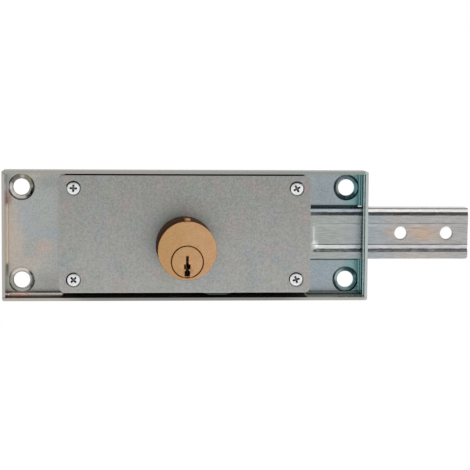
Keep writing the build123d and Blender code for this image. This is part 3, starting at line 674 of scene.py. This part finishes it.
def brass(name, look, seed):
    finish = Finish(name)
    places = look["places"]
    colour = finish.mix(finish.x.rise(*places["right"]), look["left"], look["right"])
    mottle = finish.noise(finish.point, 0.35, detail=3.0, seed=seed).rise(0.42, 0.70)
    colour = finish.mix(mottle * 0.5, colour, look["mottle"])
    grain = finish.noise(finish.point, 2.2, detail=3.0, roughness=0.7, seed=seed + 2)
    colour = finish.grained(colour, grain.rise(0.3, 0.7), look["grain"])
    tarnish = finish.noise(finish.point, 0.8, detail=4.0, seed=seed + 4).rise(0.58, 0.75)
    colour = finish.mix(tarnish * 0.2, colour, look["tarnish"])
    radius = look["plugRadius"]
    gap = finish.arcMark(finish.polar(*look["plugAxis"]), radius - 0.08, radius + 0.28, 90, 160)
    colour = finish.mix(gap, colour, look["gap"])
    away = finish.polar(*look["axis"])[0]
    # the barrel's side, in painted shade that darkens towards the face
    side = away.rise(look["faceRadius"] + 0.02, look["faceRadius"] + 0.12)
    side = side * finish.z.rise(*places["barrelShade"])
    barrelShade = finish.mix(finish.y.rise(*places["barrelFront"]), *look["barrelShade"])
    colour = finish.mix(side * 0.95, colour, barrelShade)
    # painted shade in the keyway's foot and round the strip's lug
    colour = finish.patched(colour, look["marks"], finish.point)
    # worn edges, strong enough to also be a painted highlight on the face's chamfer
    worn = finish.edges(0.2)
    colour = finish.mix(worn * (1 - side) * 0.5, colour, look["edge"])
    rough = 0.40 + (grain - 0.5) * 0.2
    return finish.shade(colour, rough, grain, 0.02, matt=side * 0.85)


steelLook = {
    "brightScrew": {
        "base": (0.80, 0.81, 0.80),
        "film": (0.58, 0.60, 0.60),
        "edge": (0.86, 0.86, 0.86),
        "rough": 0.26,
    },
    "turnedSteel": {
        "base": (0.45, 0.45, 0.45),
        "film": (0.22, 0.22, 0.23),
        "edge": (0.62, 0.62, 0.61),
        "rough": 0.34,
    },
    "springSteel": {
        "base": (0.38, 0.38, 0.40),
        "film": (0.16, 0.16, 0.18),
        "edge": (0.50, 0.50, 0.52),
        "rough": 0.30,
    },
}
recessLook = {"crossShade": (0.07, 0.075, 0.08), "below": 13.42}  # painted shade in the screws' cross: its tint and the height that it starts under


def steel(name, look, seed, recess=None):
    finish = Finish(name)
    lathe = finish.noise(finish.stretched(0.4, 4, 0.4), 1.5, detail=3.0, seed=seed)
    film = finish.noise(finish.point, 0.6, detail=3.0, seed=seed + 2).rise(0.45, 0.7)
    colour = finish.mix(film * 0.6, look["base"], look["film"])
    worn = finish.edges(0.15)
    colour = finish.mix(worn * 0.5, colour, look["edge"])
    if recess:  # painted shade in the cross of the cover's screws
        depth = finish.y.rise(-recess["below"], -recess["below"] + 0.25)
        colour = finish.mix(depth * 0.9, colour, recess["crossShade"])
    rough = look["rough"] + (lathe - 0.5) * 0.2
    return finish.shade(colour, rough, lathe, 0.01)


finishes = {
    "zinc_plated_case": zincCase(zincCaseLook),
    "zinc_plated_cover": zincCover(zincCoverLook),
    "zinc_plated_bolt": zincBolt(zincBoltLook),
    "brass": brass("brassBody", brassLook, 61.0),
    "brass_plug": brass("brassPlug", brassLook, 71.0),
    "bright_screw": steel("brightScrew", steelLook["brightScrew"], 81.0),
    "turned_steel": steel("turnedSteel", steelLook["turnedSteel"], 91.0),
    "spring_steel": steel("springSteel", steelLook["springSteel"], 101.0),
}
coverScrewFinish = steel("coverScrew", steelLook["brightScrew"], 111.0, recessLook)
print("finishes made:", len(finishes) + 1)


def stepped(start, *stretches):  # values from start on, over stretches that are given by end and step
    values = []
    for end, step in stretches:
        count = max(1, round(abs(end - start) / step))
        values += [start + (end - start) * k / count for k in range(count)]
        start = end
    return values + [start]


def arc(centre, radius, start, end, steps):  # points of an arc in a plane, its angles in degrees
    across, above = centre
    angles = [math.radians(start + (end - start) * k / steps) for k in range(steps + 1)]
    return [(across + radius * math.cos(angle), above + radius * math.sin(angle)) for angle in angles]


def loft(name, rings):  # a closed form through rings of equally many points, in mm
    count, last = len(rings[0]), len(rings) - 1
    faces = [tuple(range(count)), tuple(range(count * last, count * (last + 1)))]
    for row in range(last):
        for k in range(count):
            a, b = row * count + k, row * count + (k + 1) % count
            faces.append((a, b, b + count, a + count))
    mesh = bpy.data.meshes.new(name)
    mesh.from_pydata([Vector(point) * mm for ring in rings for point in ring], [], faces)
    shape = bmesh.new()
    shape.from_mesh(mesh)
    bmesh.ops.recalc_face_normals(shape, faces=shape.faces)
    shape.to_mesh(mesh)
    shape.free()
    piece = bpy.data.objects.new(name, mesh)
    scene.collection.objects.link(piece)
    return piece


def prism(name, outline, low, high):  # an outline in X and Z, drawn out between two heights
    return loft(name, [[(x, -height, z) for x, z in outline] for height in (low, high)])


def carve(piece, *cutters):
    for cutter in cutters:
        cut = piece.modifiers.new("carve", "BOOLEAN")
        cut.operation, cut.solver, cut.object = "DIFFERENCE", "EXACT", cutter
    evaluated = piece.evaluated_get(bpy.context.evaluated_depsgraph_get())
    carved = bpy.data.meshes.new_from_object(evaluated)
    piece.modifiers.clear()
    piece.data = carved
    for cutter in cutters:
        bpy.data.objects.remove(cutter)


creaseAngle = 32  # degrees, above which an edge stays sharp


def settle(piece, node, finish, edge=0.0):  # gives a piece its finish, body and slot in place of a node
    piece.data.materials.clear()
    piece.data.materials.append(finish)
    piece.data.shade_smooth()
    piece.data.set_sharp_from_angle(angle=math.radians(creaseAngle))
    if edge:
        soften = piece.modifiers.new("soften", "BEVEL")
        soften.width, soften.segments, soften.harden_normals = edge * mm, 2, True
        soften.limit_method, soften.angle_limit = "ANGLE", math.radians(creaseAngle + 8)
    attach(piece, bodyOf[node])
    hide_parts(node)


boltLook = {
    "sheet": 1.8,
    "topRound": 0.9,
    "lowRound": 0.2,
    "upperGroove": (10.95, 1.15, 1.55, 0.45),  # its top, the runs of its two flanks and its depth
    "lowerGroove": (-4.45, 1.75, 1.25, 0.9),
    "lowerStart": (53.9, 57.4),  # where the lower groove runs out
    "padSink": 0.4,
    "padLeft": (54.9, 55.7, 57.8),  # start of its side, end of the steep part, start of its floor
    "padTop": (4.75, 2.96),  # where its upper slope starts and ends
    "padBottom": (-4.4, -4.15),
    "padSteep": 0.6,  # the steep part's share of the pad's depth
    "waviness": 0.02,
    "wander": 0.13,  # how far the grooves stray up and down
    "holes": (93.3, 113.3),
    "holeAxis": 0.6,
    "holeRim": [  # radius and height
        (3.02, 7.0), (2.96, 6.13), (2.80, 6.05), (2.70, 5.95), (2.65, 5.8), (2.65, 0.0),
    ],
    "slot": (-32.43, 5.9, 1.6, 3.1),  # X of its two centres, their Z and its radius
    "tail": (7.0, -5.0),  # where the tail starts and its lower edge
    "rackRoot": -3.2,
    "rackGaps": (2.27, 0.96),  # width of a gap at the tail's lower edge and at its root
    "rackCount": 11,
    "rackFirst": 2.44,
    "tipRound": 1.2,
    "faceSteps": [(-7.9, 0.45), (-4.0, 0.13), (2.7, 0.6), (5.1, 0.3), (8.0, 0.6)],  # up to which Z, step
    "webSteps": [(8.0, 0.3), (-4.2, 2.0), (-8.0, 0.4)],  # down the inner face to which Z, step
    "lengthSteps": [(51.0, 4.0), (53.5, 0.8), (59.0, 0.3), (62.0, 0.75)],  # up to which X, step
    "lastSteps": (0.13, 0.4, 0.8),  # the last step of each of the three
}


def progress(value, start, end):  # how far a value is on its way from start to end, from 0 to 1
    return min(1.0, max(0.0, (value - start) / (end - start)))


def grooveDepth(z, groove):
    top, flank, back, depth = groove
    blur = 0.1  # how far up and down the depth is averaged, so that the creases are slightly round
    depths = []
    for nudge in (-blur, -blur / 2, 0, blur / 2, blur):
        below = top - blur - z - nudge
        depths.append(depth * min(progress(below, 0, flank), progress(below, flank + back, flank)))
    return sum(depths) / len(depths)


def boltFront(look, front, x, z):  # height of the bolt's face
    start, steep, floor = look["padLeft"]
    steepEnd = look["padSteep"]
    inward = progress(x, start, steep) * steepEnd + progress(x, steep, floor) * (1 - steepEnd)
    inward *= progress(z, *look["padTop"]) * progress(z, *look["padBottom"])
    runOut = progress(x, *look["lowerStart"])
    ripple = noise.noise(Vector((x * 0.13, 0, z * 0.3)))
    ripple += 0.5 * noise.noise(Vector((x * 0.6, 7, z * 0.6)))
    height = front + look["waviness"] * ripple - look["padSink"] * inward
    wander = look["wander"] * noise.noise(Vector((x * 0.7, 3, z * 0.1)))
    lowered = grooveDepth(z + wander, look["lowerGroove"]) * runOut * runOut * (3 - 2 * runOut)
    return height - grooveDepth(z + wander, look["upperGroove"]) - lowered


def makeBolt(look):
    low, high = (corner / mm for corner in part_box("bolt"))
    front, back = -low.y, -high.y
    topStart, lowEnd = high.z - look["topRound"], low.z + look["lowRound"]
    faceStep, webStep, lengthStep = look["lastSteps"]
    webTop, webLow = high.z - look["sheet"], low.z + look["sheet"]
    faceLevels = stepped(lowEnd, *look["faceSteps"], (topStart, faceStep))
    webLevels = stepped(webTop, *look["webSteps"], (webLow, webStep))
    places = stepped(low.x, *look["lengthSteps"], (high.x, lengthStep))
    rings = []
    for x in places:
        ring = [(back, low.z)] + arc((front - look["lowRound"], lowEnd), look["lowRound"], -90, 0, 3)[:-1]
        ring += [(boltFront(look, front, x, z), z) for z in faceLevels[:-1]]
        ring += arc((front - look["topRound"], topStart), look["topRound"], 0, 90, 9) + [(back, high.z)]
        ring += [(back, webLevels[0])]
        ring += [(boltFront(look, front, x, z) - look["sheet"], z) for z in webLevels]
        ring += [(back, webLevels[-1])]
        rings.append([(x, -height, z) for height, z in ring])
    bolt = loft("boltBar", rings)

    holes = []
    for x in look["holes"]:
        rim = []
        for radius, height in look["holeRim"]:
            circle = arc((x, look["holeAxis"]), radius, 0, 355, 71)
            rim.append([(hx, -height, hz) for hx, hz in circle])
        holes.append(loft("rodHole", rim))
    left, right, level, radius = look["slot"]
    slot = arc((right, level), radius, -90, 90, 24) + arc((left, level), radius, 90, 270, 24)
    tailRight, tailLow = look["tail"]
    mouth, root = (width / 2 for width in look["rackGaps"])
    outline = [(low.x - 2, low.z - 2), (tailRight, low.z - 2), (tailRight, tailLow)]
    for place in range(look["rackCount"]):
        centre = look["rackFirst"] - math.pi * place
        outline += [(centre + mouth, tailLow), (centre + root, look["rackRoot"])]
        outline += [(centre - root, look["rackRoot"]), (centre - mouth, tailLow)]
    outline.append((low.x - 2, tailLow))
    corners = []
    axis, curve = (low.z + high.z) / 2, look["tipRound"]
    for side in (1, -1):
        corner = arc((high.x - curve, high.z - curve), curve, 0, 90, 10)
        corner += [(high.x - curve, high.z + 1), (high.x + 1, high.z + 1), (high.x + 1, high.z - curve)]
        corner = [(x, axis + side * (z - axis)) for x, z in corner]
        corners.append(prism("tipCorner", corner, 0, front + 2))
    slotCut = prism("boltSlot", slot, 0, front + 2)
    tailCut = prism("boltTail", outline, 0, front + 2)
    carve(bolt, *holes, slotCut, tailCut, *corners)
    settle(bolt, "bolt", finishes["zinc_plated_bolt"], edge=0.1)
    print("bolt made:", len(bolt.data.polygons), "faces")


makeBolt(boltLook)

screwLook = {  # radii and depths below the head's face; the thread's start, end, crest, core and pitch
    "cover": {
        "profile": [
            (0.5, -0.16), (1.3, -0.14), (2.0, -0.09), (2.45, -0.03), (2.62, 0.02), (2.64, 0.07), (1.5, 1.2),
        ],
        "thread": (1.4, 7.6, 1.48, 1.22, 0.5),
        "end": [(1.2, 7.85), (0.9, 8.0)],
    },
    "cylinder": {
        "profile": [(1.0, 0.0), (2.9, 0.0), (3.12, 0.05), (3.17, 0.12), (2.0, 1.22)],
        "thread": (4.2, 14.8, 1.98, 1.62, 0.7),
        "end": [(1.6, 15.0), (1.3, 15.2)],
    },
    "pinion": {
        "profile": [(1.0, 0.0), (2.45, 0.0), (2.64, 0.08), (2.7, 0.25), (2.7, 1.7), (1.5, 1.7)],
        "thread": (4.6, 10.7, 1.48, 1.22, 0.5),
        "end": [(1.2, 10.9), (0.9, 11.05)],
    },
}
crossLook = {
    "arm": 1.55,
    "half": 0.42,
    "shoulder": 0.9,  # how far out an arm keeps its width
    "depth": 1.35,
    "clear": (0.6, 1.2),  # how far the cutter stands out of the head, and its scale there
    "narrowing": 0.5,
}
slotLook = {"half": 0.45, "depth": 0.6, "reach": 6.0}


def makeScrew(node, look, x, z, top, inward, cutter):  # inward is 1 where the screw points into the shutter
    points = 40
    start, end, crest, core, pitch = look["thread"]
    rows = [(radius, depth, 0) for radius, depth in look["profile"]]
    rows += [(crest, depth, 1) for depth in stepped(start, (end, pitch / 4))]
    rows += [(radius, depth, 0) for radius, depth in look["end"]]
    rings = []
    for radius, depth, threaded in rows:
        ring = []
        for k in range(points):
            turn = depth / pitch - k / points
            tooth = abs((turn % 1) * 2 - 1) * (crest - core) * threaded
            angle = math.tau * k / points
            reach = radius - tooth
            ring.append((x + reach * math.cos(angle), -(top - inward * depth), z + reach * math.sin(angle)))
        rings.append(ring)
    screw = loft(node + "Turned", rings)
    carve(screw, cutter)
    finish = coverScrewFinish if node.startswith("cover") else finishes["bright_screw"]
    settle(screw, node, finish)


def crossCutter(x, z, top, angle):  # tapered cross, deepest where its arms meet
    arm, half = crossLook["arm"], crossLook["half"]
    shoulder, tip = arm * crossLook["shoulder"], half * 0.5
    quarter = [(half, half), (half, shoulder), (tip, arm), (-tip, arm), (-half, shoulder)]
    clear, widening = crossLook["clear"]
    rings = []
    for height, scale in ((top + clear, widening), (top - crossLook["depth"], crossLook["narrowing"])):
        ring = []
        for side in range(4):
            turn = math.radians(angle + 90 * side)
            for px, pz in quarter:
                ring.append((
                    x + scale * (px * math.cos(turn) - pz * math.sin(turn)),
                    -height,
                    z + scale * (px * math.sin(turn) + pz * math.cos(turn)),
                ))
        rings.append(ring)
    return loft("cross", rings)


def slotCutter(x, z, top, inward):
    reach, half = slotLook["reach"], slotLook["half"]
    outline = [(x - reach, z - half), (x + reach, z - half), (x + reach, z + half), (x - reach, z + half)]
    return prism("slotCut", outline, top + inward, top - inward * slotLook["depth"])


coverTurns = {"cover_screw_1": -3, "cover_screw_2": 28, "cover_screw_3": 45, "cover_screw_4": 18}  # degrees
backScrews = {"cylinder_screw_1": "cylinder", "cylinder_screw_2": "cylinder", "pinion_screw": "pinion"}
for node, angle in coverTurns.items():
    low, high = (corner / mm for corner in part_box(node))
    x, z, top = (low.x + high.x) / 2, (low.z + high.z) / 2, -low.y
    makeScrew(node, screwLook["cover"], x, z, top, 1, crossCutter(x, z, top, angle))
for node, kind in backScrews.items():
    low, high = (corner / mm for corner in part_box(node))
    x, z, top = (low.x + high.x) / 2, (low.z + high.z) / 2, -high.y
    makeScrew(node, screwLook[kind], x, z, top, -1, slotCutter(x, z, top, -1))
print("screws made")

nodeEdge = {"default": 0.08, "case": 0.15, "cover_plate": 0.2}  # how wide a broken edge is, in mm
replaced = ["bolt", *coverTurns, *backScrews]

for name, node in sorted(frame["nodes"].items()):
    if name in replaced:
        continue
    node.data.materials.clear()
    node.data.materials.append(finishes[slotOf[name]])
    if name.startswith("pin_spring"):
        continue  # round wire has no edge to soften
    flatten = node.modifiers.new("flatten", "DECIMATE")
    flatten.decimate_type, flatten.angle_limit = "DISSOLVE", math.radians(1)
    soften = node.modifiers.new("soften", "BEVEL")
    soften.width, soften.segments = nodeEdge.get(name, nodeEdge["default"]) * mm, 2
    soften.limit_method, soften.angle_limit = "ANGLE", math.radians(creaseAngle)
    soften.harden_normals = True
print("nodes dressed")
